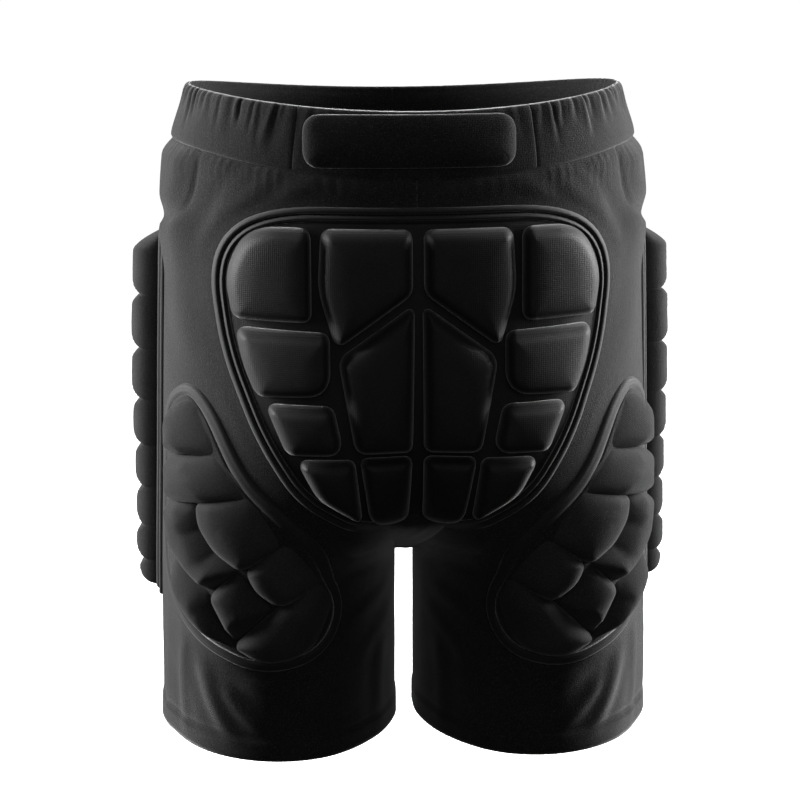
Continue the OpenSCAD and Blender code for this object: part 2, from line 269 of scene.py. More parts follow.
def sharp_parting(z):
    """How far the halves have parted into legs: 0 above the cleft, 1 at the crotch, a little more below."""
    p = (SPLIT_START_Z - z) / (SPLIT_START_Z + CROTCH_Z)
    early = np.clip(p, 0, 1) ** SPLIT_POWER
    return np.where(p < 1, early, np.minimum(LEG_SPLIT, 1 + SPLIT_SPEED * (p - 1)))


def parting(z):
    """As sharp_parting, evened out so that the cloth has no kink at the crotch."""
    z = np.asarray(z, float)
    return sum(sharp_parting(z + d) for d in (-8, -4, 0, 4, 8)) / 5


def radius_x(z):
    return at(WIDTHS, z) / (1 + parting(z))


def centre_x(z):
    return parting(z) * radius_x(z)


def radius_y(z):
    return at(DEPTHS, z)


def roundness(z):
    """How far round a half closes towards the middle: less in the cleft, fully on a leg."""
    return mix(CLEFT, 1, smooth((-CLEFT_START - np.asarray(z, float)) / (CROTCH_Z - CLEFT_START)))


def end_angle(z):
    """Angle at which a half meets the middle plane, or 180 on a leg."""
    c = (SEAM_HALF_GAP - centre_x(z)) / radius_x(z)
    return np.degrees(np.arccos(np.clip(c, -1, 1)))


def skin(z, angle, off):
    """Points of the right half, the angle running from 0 at the side to positive at the back."""
    z, angle, off = np.broadcast_arrays(*[np.asarray(v, float) for v in (z, angle, off)])
    c = np.cos(np.radians(angle))
    k = np.where(c < 0, roundness(z) * c, c)
    s = np.sqrt(np.maximum(0, 1 - k * k))
    x = np.maximum(centre_x(z) + (radius_x(z) + off) * c, SEAM_HALF_GAP)
    y = -(radius_y(z) + off) * np.where(angle < 0, -s, s)
    return np.stack([x, y, z], -1)


def whole_skin(z, angle, off):
    """As skin, but the angle runs on past the back middle to the left half."""
    angle = np.asarray(angle, float)
    p = skin(z, np.where(angle > 90, 180 - angle, angle), off)
    p[..., 0] *= np.where(angle > 90, -1, 1)
    return p


def band_z(angle, v):
    s = np.sin(np.radians(angle)) ** 2
    return mix(-RIM_DIP * s, -BAND_H - (RIM_DIP + SEAM_DIP) * s, v)


def waist_seam_z(w):
    return band_z(90 * w, 1) - 0.4


def hem_edge_z(w):
    return -HEM_Z - HEM_DIP * np.maximum(0, np.sin(np.radians(180 * w)))


# Each pad has its own flat coordinates, across and height, which these lay on the shell

def seat_place(x, z, off):
    c, a = centre_x(z), np.abs(x)
    bridged = SEAT_BRIDGE * roundness(z) * parting(z)
    inside = bridged * (1 - smooth(a / np.maximum(c, 1e-6)))
    w = np.where(a < c, inside, (a - c) / (radius_x(z) + off))
    return np.stack([x, -(radius_y(z) + off) * np.sqrt(np.maximum(0, 1 - w * w)), z], -1)


def side_place(y, z, off):
    return skin(z, -np.degrees(np.arcsin(y / radius_y(z))), off)


def band_place(x, z, off):
    r = radius_x(z)
    p = skin(z, np.degrees(np.arccos(x / r)), off)
    return np.stack([x * (r + off) / r, p[..., 1], z], -1)


def leg_place(u, z, off):
    return skin(z, np.degrees(u / ARC_RADIUS), off)


def hip_place(u, z, off):
    return skin(z, np.degrees(u / ILIAC_RADIUS), off)


# --- pad outlines ---
# Corners: across, height, reach of the rounding and, if given, width of the slope on the edge that follows

SEAT_EDGE_HALF = [(0, -69, 12), (97, -69, 40), (128.5, -100, 30), (120.5, -160, 20), (100, -213, 20),
                  (75, -252, 18), (40, -273, 10), (20, -277, 10)]
SEAT_EDGE = SEAT_EDGE_HALF + [(-x, z, r) for x, z, r in reversed(SEAT_EDGE_HALF[1:])]
SEAT_BLOCKS = {
    "hip_upper": [(67, -82, 6), (103, -82, 22), (117.5, -110, 22), (113, -137, 5), (67, -137, 5)],
    "spine_upper": [(5, -82, 5), (58, -82, 6), (60, -118, 10), (50, -152, 6), (5, -119, 5)],
    "hip_middle": [(56, -146, 5), (111, -145, 7), (107, -166, 14), (99, -184, 5), (56, -182, 14)],
    "hip_lower": [(54, -191, 5), (93, -191, 6), (81, -219, 5), (48, -219, 10)],
    "hip_point": [(41, -225, 4), (74, -225, 6), (62, -248, 8), (36, -265, 4)],
    "spine_middle": [(4, -129, 4), (48, -161, 6), (38, -218, 6), (5, -218, 4)],
    "spine_lower": [(5, -224, 4), (35, -224, 4), (28, -267, 8), (15, -270, 6), (6, -267, 4)],
}
THIGH_EDGE = [(20, -202, 16), (43, -184, 13), (60, -194, 18), (89, -238, 20), (116, -260, 20),
              (159, -291, 24), (180, -326, 22), (163, -360, 22), (118, -370, 22), (64, -352, 24),
              (29, -320, 24), (20, -270, 20)]
THIGH_BLOCKS = {
    "top": [(36, -231, 5), (33, -209, 8), (44, -197, 7), (54, -200, 6, 19), (70, -224, 4)],
    "shoulder": [(36, -237, 6), (72, -229, 3, 19), (94, -251, 4), (62, -258, 6), (40, -262, 6)],
    "outer": [(38, -267, 6), (63, -260, 4, 13), (70, -276, 8, 14), (82, -290, 8, 14),
              (103, -299, 3, 9), (84, -315, 6), (62, -303, 8), (45, -290, 8)],
    "middle": [(67, -259, 3), (98, -253, 4, 22), (123, -279, 5), (104, -297, 5), (84, -287, 8),
               (70, -272, 7)],
    "inner": [(109, -298, 4), (128, -280, 3, 22), (160, -306, 4), (131, -321, 6), (117, -311, 7)],
    "lower": [(85, -319, 5), (104, -301, 3, 20), (127, -324, 4, 11), (102, -348, 4), (94, -335, 7)],
    "crescent": [(46, -297, 4, 14), (80, -316, 4, 13), (85, -325, 4, 13), (100, -352, 4),
                 (72, -342, 14), (52, -321, 12)],
    "bottom": [(103, -351, 3), (131, -325, 4), (161, -308, 4, 26), (169, -322, 7, 22),
               (160, -344, 10), (142, -357, 10), (120, -360, 9)],
}
ILIAC_EDGE = [(-52, -40, 8), (52, -44, 8), (48, -64, 10), (28, -84, 16), (-28, -84, 16), (-48, -62, 10)]
LUMBAR_EDGE = [(-69, -12, 11), (-69, -43.5, 11), (61.5, -43.5, 11), (61.5, -12, 11)]
SIDE_TOP_Z = -98
SIDE_HEIGHTS = [40, 36, 34, 31, 29, 27, 23, 16]
SIDE_FRONT_Y, SIDE_BORDER = 60, 8
SIDE_LOW_Z = SIDE_TOP_Z - sum(SIDE_HEIGHTS)
SIDE_EDGE = [(-SIDE_BORDER, SIDE_TOP_Z + SIDE_BORDER, 8), (-SIDE_BORDER, SIDE_LOW_Z - SIDE_BORDER, 8),
             (SIDE_FRONT_Y + SIDE_BORDER, SIDE_LOW_Z - SIDE_BORDER, 8),
             (SIDE_FRONT_Y + SIDE_BORDER, SIDE_TOP_Z + SIDE_BORDER, 8)]


def outline(corners, step=1.3, grow=0.0):
    """Even points round a rounded outline, anticlockwise, grown outwards by grow."""
    xy = np.array([c[:2] for c in corners], float)
    t = np.linspace(0, 1, 9)[:, None]
    bends = []
    for i, corner in enumerate(corners):
        ends = []
        for other in (xy[i - 1], xy[(i + 1) % len(xy)]):
            way = other - xy[i]
            ends.append(xy[i] + way * min(corner[2] / np.linalg.norm(way), 0.49))
        bends.append(mix(mix(ends[0], xy[i], t), mix(xy[i], ends[1], t), t))
    points = even_loop(np.vstack(bends), step)
    x, y = points.T
    if np.sum(x * np.roll(y, -1) - np.roll(x, -1) * y) < 0:
        points = points[::-1]
    return even_loop(points - inwards(points) * grow, step) if grow else points


def even_loop(points, step):
    loop = np.vstack([points, points[:1]])
    far = np.concatenate([[0], np.cumsum(np.linalg.norm(np.diff(loop, axis=0), axis=1))])
    n = max(8, int(round(far[-1] / step)))
    s = np.arange(n) * far[-1] / n
    return np.stack([np.interp(s, far, loop[:, k]) for k in range(loop.shape[1])], -1)


def inwards(points):
    way = np.roll(points, -1, 0) - np.roll(points, 1, 0)
    way /= np.linalg.norm(way, axis=1)[:, None]
    return np.stack([-way[:, 1], way[:, 0]], -1)


def depth_in(points, loop):
    """Distance of each point inside the outline from it, negative outside."""
    a, b = loop, np.roll(loop, -1, 0)
    ab = b - a
    ap = points[:, None] - a
    t = np.clip((ap * ab).sum(-1) / (ab * ab).sum(-1), 0, 1)
    near = np.sqrt(((ap - t[..., None] * ab) ** 2).sum(-1).min(1))
    px, py = points[:, None, 0], points[:, None, 1]
    spans = (a[:, 1] > py) != (b[:, 1] > py)
    rise = np.where(ab[:, 1] == 0, 1, ab[:, 1])
    crossing = a[:, 0] + (py - a[:, 1]) * ab[:, 0] / rise
    return np.where((spans & (px < crossing)).sum(1) % 2 == 1, near, -near)


def filled(loop, rings, pitch):
    """Points, triangles and edge flags of an outline's inside: rings that follow it, then a lattice."""
    layers = [loop]
    for r in rings:
        ring = loop + inwards(loop) * r
        layers.append(ring[depth_in(ring, loop) > r - 0.03])
    low, high = loop.min(0), loop.max(0)
    across = np.arange(low[0], high[0], pitch)
    rows = np.arange(low[1], high[1], pitch * 0.87)
    lattice = np.vstack([np.stack([across + pitch / 2 * (i % 2), np.full(len(across), y)], -1)
                         for i, y in enumerate(rows)])
    layers.append(lattice[depth_in(lattice, loop) > rings[-1] + 0.55 * pitch])
    points = np.vstack(layers)
    n = len(loop)
    made = delaunay_2d_cdt([Vector(p) for p in points], [(i, (i + 1) % n) for i in range(n)], [], 1, 1e-6)
    points = np.array([tuple(v) for v in made[0]])
    faces = np.array(made[2])
    a, b, c = (points[faces[:, k]] for k in range(3))
    turned = (b[:, 0] - a[:, 0]) * (c[:, 1] - a[:, 1]) - (b[:, 1] - a[:, 1]) * (c[:, 0] - a[:, 0]) < 0
    faces[turned] = faces[turned][:, ::-1]
    return points, faces, depth_in(points, loop) < 0.01


# --- making objects ---

def make(name, points, faces, uv=None, material=None):
    """Mesh object from points in millimetres. uv is one pair for each point, in metres."""
    mesh = bpy.data.meshes.new(name)
    mesh.from_pydata((np.asarray(points, float) * MM).tolist(), [], [list(map(int, f)) for f in faces])
    if uv is not None:
        layer = mesh.uv_layers.new(name="cloth")
        corners = np.empty(len(mesh.loops), int)
        mesh.loops.foreach_get("vertex_index", corners)
        layer.data.foreach_set("uv", np.asarray(uv, np.float32)[corners].ravel())
    mesh.shade_smooth()
    obj = bpy.data.objects.new(name, mesh)
    bpy.context.scene.collection.objects.link(obj)
    if material:
        mesh.materials.append(material)
    return obj


def edited(obj, change):
    bm = bmesh.new()
    bm.from_mesh(obj.data)
    change(bm)
    bm.to_mesh(obj.data)
    bm.free()


def weld(obj, distance):
    edited(obj, lambda bm: bmesh.ops.remove_doubles(bm, verts=bm.verts, dist=distance))


def face_outwards(obj):
    edited(obj, lambda bm: bmesh.ops.recalc_face_normals(bm, faces=bm.faces))


def grid_faces(rows, cols, ring=False):
    r, c = np.meshgrid(np.arange(rows - 1), np.arange(cols if ring else cols - 1), indexing="ij")
    a, b = r * cols + c, r * cols + (c + 1) % cols
    return np.stack([a, a + cols, b + cols, b], -1).reshape(-1, 4)


KNIT_THICKNESS, BAND_THICKNESS, ELASTIC_THICKNESS = 1.2, 1.0, 1.3


def thicken(obj, thickness):
    solid = obj.modifiers.new("thickness", "SOLIDIFY")
    solid.thickness = thickness * MM
    solid.offset = -1


def wander(t, period, seed):
    """Smooth irregular wave of about that period, between -1 and 1."""
    r = np.random.default_rng(seed)
    total = 0
    for _ in range(4):
        total = total + np.sin(2 * np.pi * t / (period * r.uniform(0.68, 1.5)) + r.uniform(0, 6.28))
    return total / 2.8


# --- materials ---

def node(tree, kind, **settings):
    made = tree.nodes.new(kind)
    for name, value in settings.items():
        if name in made.inputs:
            made.inputs[name].default_value = value
        else:
            setattr(made, name, value)
    return made


WORN_SCALE, WORN_SHARE, SPECK_SHARE = 22.0, 0.3, 0.75
LINT_FROM, LINT_TO, LINT_COLOUR = 0.56, 0.74, (0.09, 0.09, 0.095, 1)
WAVE_PERIOD = 0.314    # metres between the crests of a wave texture of scale 1


def fabric(name, dark, light, roughness, sheen, weave, weave_depth, grain, specular, lint_share=0.4):
    """Black textile: a base colour with worn lighter patches, specks and lint, sheen as amount and
    roughness, a weave as pairs of direction and pitch, and a finer grain as scale and depth. Depths and
    pitches are in millimetres."""
    material = bpy.data.materials.new(name)
    material.use_nodes = True
    tree = material.node_tree
    tree.nodes.clear()
    link = tree.links.new
    out = node(tree, "ShaderNodeOutputMaterial")
    shader = node(tree, "ShaderNodeBsdfPrincipled", **{
        "Roughness": roughness, "Sheen Weight": sheen[0], "Sheen Roughness": sheen[1],
        "Specular IOR Level": specular})
    link(shader.outputs[0], out.inputs["Surface"])
    place = node(tree, "ShaderNodeTexCoord")
    specks = node(tree, "ShaderNodeTexNoise", Scale=grain[0], Detail=3.0, Roughness=0.7)
    worn = node(tree, "ShaderNodeTexNoise", Scale=WORN_SCALE, Detail=4.0, Roughness=0.6)
    for texture in (specks, worn):
        link(place.outputs["Object"], texture.inputs["Vector"])
    blend = node(tree, "ShaderNodeMath", operation="MULTIPLY_ADD")
    blend.inputs[1].default_value = SPECK_SHARE
    link(specks.outputs["Fac"], blend.inputs[0])
    share = node(tree, "ShaderNodeMath", operation="MULTIPLY")
    share.inputs[1].default_value = WORN_SHARE
    link(worn.outputs["Fac"], share.inputs[0])
    link(share.outputs[0], blend.inputs[2])
    ramp = node(tree, "ShaderNodeValToRGB")
    for stop, position, colour in zip(ramp.color_ramp.elements, (0.3, 0.75), (dark, light)):
        stop.position = position
        stop.color = (*colour, 1)
    link(blend.outputs[0], ramp.inputs[0])
    fibres = node(tree, "ShaderNodeTexNoise", Scale=1.7 * grain[0], Detail=2.0, Roughness=0.8)
    link(place.outputs["Object"], fibres.inputs["Vector"])
    lint = node(tree, "ShaderNodeMapRange", **{"From Min": LINT_FROM, "From Max": LINT_TO,
                                               "To Min": 0.0, "To Max": lint_share})
    link(fibres.outputs["Fac"], lint.inputs["Value"])
    tint = node(tree, "ShaderNodeMix", data_type="RGBA")
    link(lint.outputs[0], tint.inputs["Factor"])
    link(ramp.outputs[0], tint.inputs["A"])
    tint.inputs["B"].default_value = LINT_COLOUR
    link(tint.outputs["Result"], shader.inputs["Base Color"])
    heights = []
    if weave:
        uv = node(tree, "ShaderNodeUVMap", uv_map="cloth")
        for turn, pitch in weave:
            spun = node(tree, "ShaderNodeMapping")
            spun.inputs["Rotation"].default_value[2] = math.radians(turn)
            link(uv.outputs[0], spun.inputs["Vector"])
            wave = node(tree, "ShaderNodeTexWave", Scale=WAVE_PERIOD / (pitch * MM), Distortion=0.4)
            wave.inputs["Detail Scale"].default_value = 3.0
            link(spun.outputs[0], wave.inputs["Vector"])
            heights.append((wave.outputs["Fac"], weave_depth))
    heights.append((specks.outputs["Fac"], grain[1]))
    normal = None
    for height, depth in heights:
        bump = node(tree, "ShaderNodeBump", Strength=1.0)
        bump.inputs["Distance"].default_value = depth * MM
        link(height, bump.inputs["Height"])
        if normal:
            link(normal.outputs[0], bump.inputs["Normal"])
        normal = bump
    link(normal.outputs[0], shader.inputs["Normal"])
    return material


knit = fabric("knit", dark=(0.005, 0.005, 0.0052), light=(0.02, 0.02, 0.0207), roughness=0.9,
              sheen=(0.5, 0.36), weave=[(0, 1.0), (90, 1.3)], weave_depth=0.035,
              grain=(1000.0, 0.36), specular=0.12, lint_share=0.8)
moulded_knit = fabric("moulded_knit", dark=(0.012, 0.012, 0.0124), light=(0.034, 0.034, 0.0353),
                      roughness=0.85, sheen=(0.15, 0.35), weave=[(35, 1.1)], weave_depth=0.03,
                      grain=(1100.0, 0.26), specular=0.14, lint_share=0.6)
pad_cover = fabric("pad_cover", dark=(0.004, 0.004, 0.0042), light=(0.012, 0.012, 0.0125),
                   roughness=0.62, sheen=(0.38, 0.3), weave=[(0, 1.2), (90, 1.2)], weave_depth=0.05,
                   grain=(1300.0, 0.14), specular=0.22)
binding = fabric("binding", dark=(0.006, 0.006, 0.0062), light=(0.018, 0.018, 0.0187), roughness=0.65,
                 sheen=(0.3, 0.4), weave=[(90, 0.9)], weave_depth=0.07, grain=(1100.0, 0.14),
                 specular=0.18)
elastic = fabric("elastic", dark=(0.007, 0.007, 0.0073), light=(0.018, 0.018, 0.0187), roughness=0.75,
                 sheen=(0.3, 0.4), weave=[(0, 1.6)], weave_depth=0.12, grain=(900.0, 0.1), specular=0.15)
thread = fabric("thread", dark=(0.002, 0.002, 0.0022), light=(0.005, 0.005, 0.0053), roughness=0.7,
                sheen=(0.05, 0.3), weave=[], weave_depth=0, grain=(2500.0, 0.05), specular=0.1,
                lint_share=0.0)


# --- how pieces move ---

# Where the cloth starts and stops turning with the leg: metres outwards and down from the middle of the rim
CREASE_START, CREASE_END = 0.1575, 0.2125


def on_leg(obj, side):
    """Follows the trunk above the hip crease and the leg below it, turning smoothly in between."""
    start, end = ((SIDES[side] * d, 0, -d) for d in (CREASE_START, CREASE_END))
    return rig.blend(obj, "trunk", f"{side}_leg", start=start, end=end)


def mirrored(points, sign):
    return points * np.array([sign, 1, 1])


# --- stitches ---

def along(path, spacing, closed):
    """Evenly spaced places on a path of points, with their tangents."""
    loop = np.vstack([path, path[:1]]) if closed else path
    far = np.concatenate([[0], np.cumsum(np.linalg.norm(np.diff(loop, axis=0), axis=1))])
    n = max(2, int(far[-1] // spacing))
    s = (np.arange(n) + 0.5) * far[-1] / n
    spot = [np.stack([np.interp(s + d, far, loop[:, k]) for k in range(3)], -1) for d in (-0.4, 0, 0.4)]
    way = spot[2] - spot[0]
    return spot[1], way / np.linalg.norm(way, axis=1)[:, None]


def stitch_rows(name, rows, length, gap, radius, zigzag=0.0):
    """Short threads along each row: its path, the outward directions on it, and whether it closes.
    The zigzag is the threads' lean to either side, in degrees."""
    sides, rings = 6, [(-0.5, 0.25), (-0.4, 0.85), (0, 1.0), (0.4, 0.85), (0.5, 0.25)]
    turn = np.arange(sides) * 2 * np.pi / sides
    points, faces = [], []
    for path, out, closed in rows:
        spot, way = along(path, length + gap, closed)
        nearest = np.argmin(((spot[:, None] - path[None]) ** 2).sum(-1), axis=1)
        up = out[nearest]
        up = up / np.linalg.norm(up, axis=1)[:, None]
        across = np.cross(way, up)
        if zigzag:
            lean = np.radians(zigzag) * np.where(np.arange(len(way)) % 2, 1, -1)[:, None]
            way, across = (way * np.cos(lean) + across * np.sin(lean),
                           across * np.cos(lean) - way * np.sin(lean))
        for i in range(len(spot)):
            first = len(points) * len(rings) * sides
            circle = radius * (np.outer(np.cos(turn), across[i]) + np.outer(np.sin(turn), up[i]))
            ring_points = [spot[i] + way[i] * length * t + fat * circle
                           - up[i] * radius * 1.2 * (2 * t) ** 4 for t, fat in rings]
            points.append(np.vstack(ring_points))
            for r in range(len(rings) - 1):
                for k in range(sides):
                    a, b = first + r * sides + k, first + r * sides + (k + 1) % sides
                    faces.append((a, b, b + sides, a + sides))
            faces.append(tuple(first + k for k in reversed(range(sides))))
            faces.append(tuple(first + (len(rings) - 1) * sides + k for k in range(sides)))
    obj = make(name, np.vstack(points), faces, None, thread)
    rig.slot(obj, "binding")
    return obj


def row_on(place, loop, off, sign=1, closed=True):
    """A stitch row along points given in the place's own coordinates, at a distance out from the shell."""
    path = place(loop[:, 0], loop[:, 1], off)
    out = place(loop[:, 0], loop[:, 1], off + 1.0) - path
    return mirrored(path, sign), mirrored(out, sign), closed


# --- pads ---

FOOT = 3.0             # height of the floor between the blocks over the knit
SHOULDER_RINGS = (0.12, 0.45, 1.0, 1.8, 2.8, 4.0, 5.4, 7.0, 9.0)
PAD_PITCH, BASE_PITCH, SLOPE_FLOOR = 2.2, 3.0, 0.06
# For covers this light the pressure reaches the cap in places within the frames
CLOTH_SETTINGS = {"quality": 4, "mass": 0.002, "tension_stiffness": 12, "compression_stiffness": 12,
                  "shear_stiffness": 4, "bending_stiffness": 0.3, "use_pressure": True}


def gentle_slopes(points, corners, reach):
    """Share of the full height that the wide slopes of some edges leave, from 0 at the edge to 1."""
    share = np.ones(len(points))
    for i, corner in enumerate(corners):
        if len(corner) > 3:
            a, b = np.array(corner[:2], float), np.array(corners[(i + 1) % len(corners)][:2], float)
            ab = b - a
            t = np.clip((points - a) @ ab / (ab @ ab), 0, 1)
            near = np.linalg.norm(points - a - t[:, None] * ab, axis=1)
            rise = np.clip(near / corner[3], 0, 1)
            rise = mix(rise, 1 - (1 - rise) ** 2, 0.2)
            share = -reach * np.log(np.exp(-share / reach) + np.exp(-rise / reach))
    return share


def moulded(name, place, corners, height, shoulder, crown, grow=0.0, base=FOOT, power=2.2,
            material=None):
    """Foam block: upright sides from the floor, a rounded shoulder, a crowned top and a flat underside.
    Returns its points, faces, uv and which points are free to swell."""
    loop = outline(corners, 1.2, grow)
    points, faces, edge = filled(loop, SHOULDER_RINGS, PAD_PITCH)
    d = np.maximum(depth_in(points, loop), 0)
    t = np.clip(d / shoulder, 0, 1)
    wall = (1 - (1 - t) ** power) ** (1 / power)
    dome = 1 - (1 - np.clip(d / (2.6 * shoulder), 0, 1)) ** 2
    slopes = mix(SLOPE_FLOOR, 1, gentle_slopes(points, corners, 0.035))
    h = (height - crown) * np.minimum(wall, 1) * slopes + crown * dome * slopes
    n = len(points)
    top = place(points[:, 0], points[:, 1], base + np.where(edge, 0, np.maximum(h, 0.05)))
    under = place(points[:, 0], points[:, 1], np.full(n, base))
    inner = np.where(~edge)[0]
    below = np.arange(n)
    below[inner] = n + np.arange(len(inner))
    everything = np.vstack([top, under[inner]])
    all_faces = np.vstack([faces, below[faces][:, ::-1]])
    uv = np.vstack([points, points[inner]]) * MM
    free = np.concatenate([~edge & (d > 1.5), np.zeros(len(inner), bool)])
    return {"name": name, "points": everything, "faces": all_faces, "uv": uv, "free": free,
            "material": material or pad_cover}


def swell(pads, pressure, cap, frames=20):
    """Cloth simulation: pressure swells the pads' free skin, while their feet and undersides are pinned.
    No point moves further than the cap, in millimetres."""
    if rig.quick():
        return
    points, faces, _ = joined(pads)
    free = np.concatenate([p["free"] for p in pads])
    obj = make("swelling", points, faces)
    face_outwards(obj)
    pins = obj.vertex_groups.new(name="pins")
    pins.add([int(i) for i in np.where(~free)[0]], 1.0, "REPLACE")
    cloth = obj.modifiers.new("cloth", "CLOTH")
    for setting, value in CLOTH_SETTINGS.items():
        setattr(cloth.settings, setting, value)
    cloth.settings.uniform_pressure_force = pressure
    cloth.settings.vertex_group_mass = "pins"
    cloth.settings.effector_weights.gravity = 0
    cloth.collision_settings.use_collision = False
    cloth.point_cache.frame_end = frames
    scene = bpy.context.scene
    for step in range(1, frames + 1):
        scene.frame_set(step)
    shape = obj.evaluated_get(bpy.context.evaluated_depsgraph_get()).to_mesh()
    after = np.empty(len(points) * 3, np.float32)
    shape.vertices.foreach_get("co", after)
    move = after.reshape(-1, 3) / MM - points
    far = np.linalg.norm(move, axis=1)[:, None]
    move *= cap * np.tanh(far / cap) / np.maximum(far, 1e-6)
    ends = np.cumsum([len(p["points"]) for p in pads])
    for p, part in zip(pads, np.split(move, ends[:-1])):
        p["points"] = p["points"] + part
    mesh = obj.data
    bpy.data.objects.remove(obj)
    bpy.data.meshes.remove(mesh)
    scene.frame_set(1)


def joined(pads):
    starts = np.cumsum([0] + [len(p["points"]) for p in pads])
    return (np.vstack([p["points"] for p in pads]),
            np.vstack([p["faces"] + s for p, s in zip(pads, starts)]), np.vstack([p["uv"] for p in pads]))


def pad_object(name, pads, sign, fill, node_name):
    points, faces, uv = joined(pads)
    obj = make(name, mirrored(points, sign), faces, uv, pads[0]["material"])
    face_outwards(obj)
    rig.padded(obj, fill=fill)
    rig.slot(obj, "pad_cover")
    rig.replaces(obj, node_name)
    return obj


# Heights over the knit, by distance in from a pad's outline. The seat has a folded tape, a stitched groove
# and a thin cord, the thighs a flat tape, and the sides a stitched groove and a thicker cord
CORDED_PROFILE = [(-1.5, -0.6), (-1.4, 1.2), (-0.9, 2.6), (0.1, 3.5), (1.3, 3.6), (2.1, 3.0), (2.5, 2.0),
                  (2.8, 1.2), (3.3, 1.2), (3.6, 2.0), (4.0, 3.3), (4.8, 4.5), (5.6, 4.5), (6.3, 3.3),
                  (6.8, 2.2), (7.4, 2.2), (9.0, FOOT)]
TAPE_PROFILE = [(-0.2, -0.6), (-0.05, 0.8), (0.5, 1.8), (1.4, 2.3), (2.2, 2.1), (2.9, 2.4), (4.0, 2.4),
                (4.8, 2.0), (5.4, 1.5), (6.0, 1.5), (8.0, FOOT - 1.2)]
STRIP_PROFILE = [(-0.4, -0.6), (-0.3, 1.4), (0.3, 2.9), (1.4, 3.5), (2.4, 3.0), (2.9, 1.6), (3.3, 1.2),
                 (3.7, 2.4), (4.5, 4.4), (5.8, 5.2), (7.2, 4.4), (8.2, 2.6), (10.0, FOOT - 0.8)]
# How far in the binding ends and the backing starts. A side pad's base is all one piece
CORDED_WIDTH, TAPE_WIDTH, WHOLE = 7.4, 6.0, 60


def pad_base(place, corners, profile, split, plain=None):
    """The layer that the blocks stand on and the binding round it, as two meshes from one surface.
    Where plain is 1 the edge is a smooth slope instead of the profile."""
    grow = -profile[0][0]
    loop = outline(corners, 1.4, grow)
    rings = [d + grow for d, _ in profile[1:]]
    points, faces, _ = filled(loop, rings, BASE_PITCH)
    d = depth_in(points, loop) - grow
    h = np.interp(d, [p[0] for p in profile], [p[1] for p in profile])
    if plain:
        h = mix(h, mix(profile[0][1], FOOT, smooth((d + grow) / (split + grow))), plain(points))
    shell = place(points[:, 0], points[:, 1], h)
    centre = d[faces].mean(1)
    parts = {}
    for part, chosen in (("backing", centre >= split), ("binding", centre < split)):
        used, index = np.unique(faces[chosen], return_inverse=True)
        parts[part] = (shell[used], index.reshape(-1, 3), points[used] * MM)
    return parts


def cloth_area(obj):
    bm = bmesh.new()
    bm.from_mesh(obj.data)
    area = sum(f.calc_area() for f in bm.faces)
    bm.free()
    return area


def base_objects(parts, label, side, sign, loop_length, backing):
    suffix = f"_{side}" if side else ""
    made = []
    for part, material, slot in (("backing", backing, "pad_cover"), ("binding", binding, "binding")):
        points, faces, uv = parts[part]
        obj = make(f"{label}_{part}{suffix}", mirrored(points, sign),
                   faces if sign > 0 else faces[:, ::-1], uv, material)
        thicken(obj, KNIT_THICKNESS)
        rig.slot(obj, slot)
        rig.replaces(obj, f"{label}_{part}{suffix}")
        area = cloth_area(obj)
        if part == "binding":
            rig.sheet(obj, flat=(max(area / loop_length, 0.0102), loop_length), held="folded")
        else:
            wide = max(np.ptp(uv[:, 0]), 0.02)
            tall = max(np.ptp(uv[:, 1]), area / wide)
            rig.sheet(obj, flat=(wide, tall), held="stretched", area=max(area, 0.31 * wide * tall))
        made.append(obj)
    return made


def length_round(corners, place):
    loop = outline(corners, 2.0)
    path = place(loop[:, 0], loop[:, 1], 0.0)
    return float(np.linalg.norm(np.roll(path, -1, 0) - path, axis=1).sum()) * MM


# Seat pad
SEAT_HEIGHT, THIGH_HEIGHT = 14.6, 14.0
SUNK = 0.8             # how far the foot of a seat block is let into the layer below


def seat_bottom(points):
    """1 where the gusset joins the seat pad's lower edge, 0 elsewhere."""
    down, across = -points[:, 1], np.abs(points[:, 0])
    return smooth((down - 258) / 9) * smooth((50 - across) / 14)


def opened(loop, keep):
    """The run of an outline's points that are kept, in order."""
    start = int(np.argmax(keep & ~np.roll(keep, 1)))
    return np.roll(loop, -start, axis=0)[np.roll(keep, -start)]


base = pad_base(seat_place, SEAT_EDGE, CORDED_PROFILE, CORDED_WIDTH, plain=seat_bottom)
for obj in base_objects(base, "seat_pad", "", 1, length_round(SEAT_EDGE, seat_place), pad_cover):
    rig.ride(obj, "trunk")
for block, corners in SEAT_BLOCKS.items():
    pad = moulded(block, seat_place, corners, SEAT_HEIGHT + SUNK, shoulder=6.8, crown=2.2, grow=1.6,
                  base=FOOT - SUNK)
    for side, sign in SIDES.items():
        name = f"seat_block_{block}_{side}"
        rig.ride(pad_object(name, [pad], sign, 0.9, name), "trunk")
groove = outline(SEAT_EDGE, 1.5, -3.05)
groove = opened(groove, seat_bottom(groove) < 0.3)
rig.ride(stitch_rows("seat_pad_stitches", [row_on(seat_place, groove, 1.6, 1, False)],
                    length=2.4, gap=0.6, radius=0.3, zigzag=32), "trunk")

# Thigh, side, hip bone and tailbone pads. The simulation swells all of them but the hip bone pads
thigh = {block: moulded(block, leg_place, corners, THIGH_HEIGHT, shoulder=8.0, crown=4.4, grow=2.6,
                        base=FOOT - 1.3, power=2.1, material=moulded_knit)
         for block, corners in THIGH_BLOCKS.items()}

SCALLOP_HEIGHTS = [22.5, 22.5, 22.0, 21.0, 19.5, 18.5, 18.5, 17.0]
SCALLOP_OVERLAP = 3.4
TOP_SLOPE = 14         # width of the slope at the top end of the side pad


def side_rows():
    """Upper and lower edge of each scallop. Neighbours overlap, so that they look like one row."""
    z = SIDE_TOP_Z
    for height in SIDE_HEIGHTS:
        over = min(SCALLOP_OVERLAP, height / 7)
        yield z + over, z - height - over
        z -= height


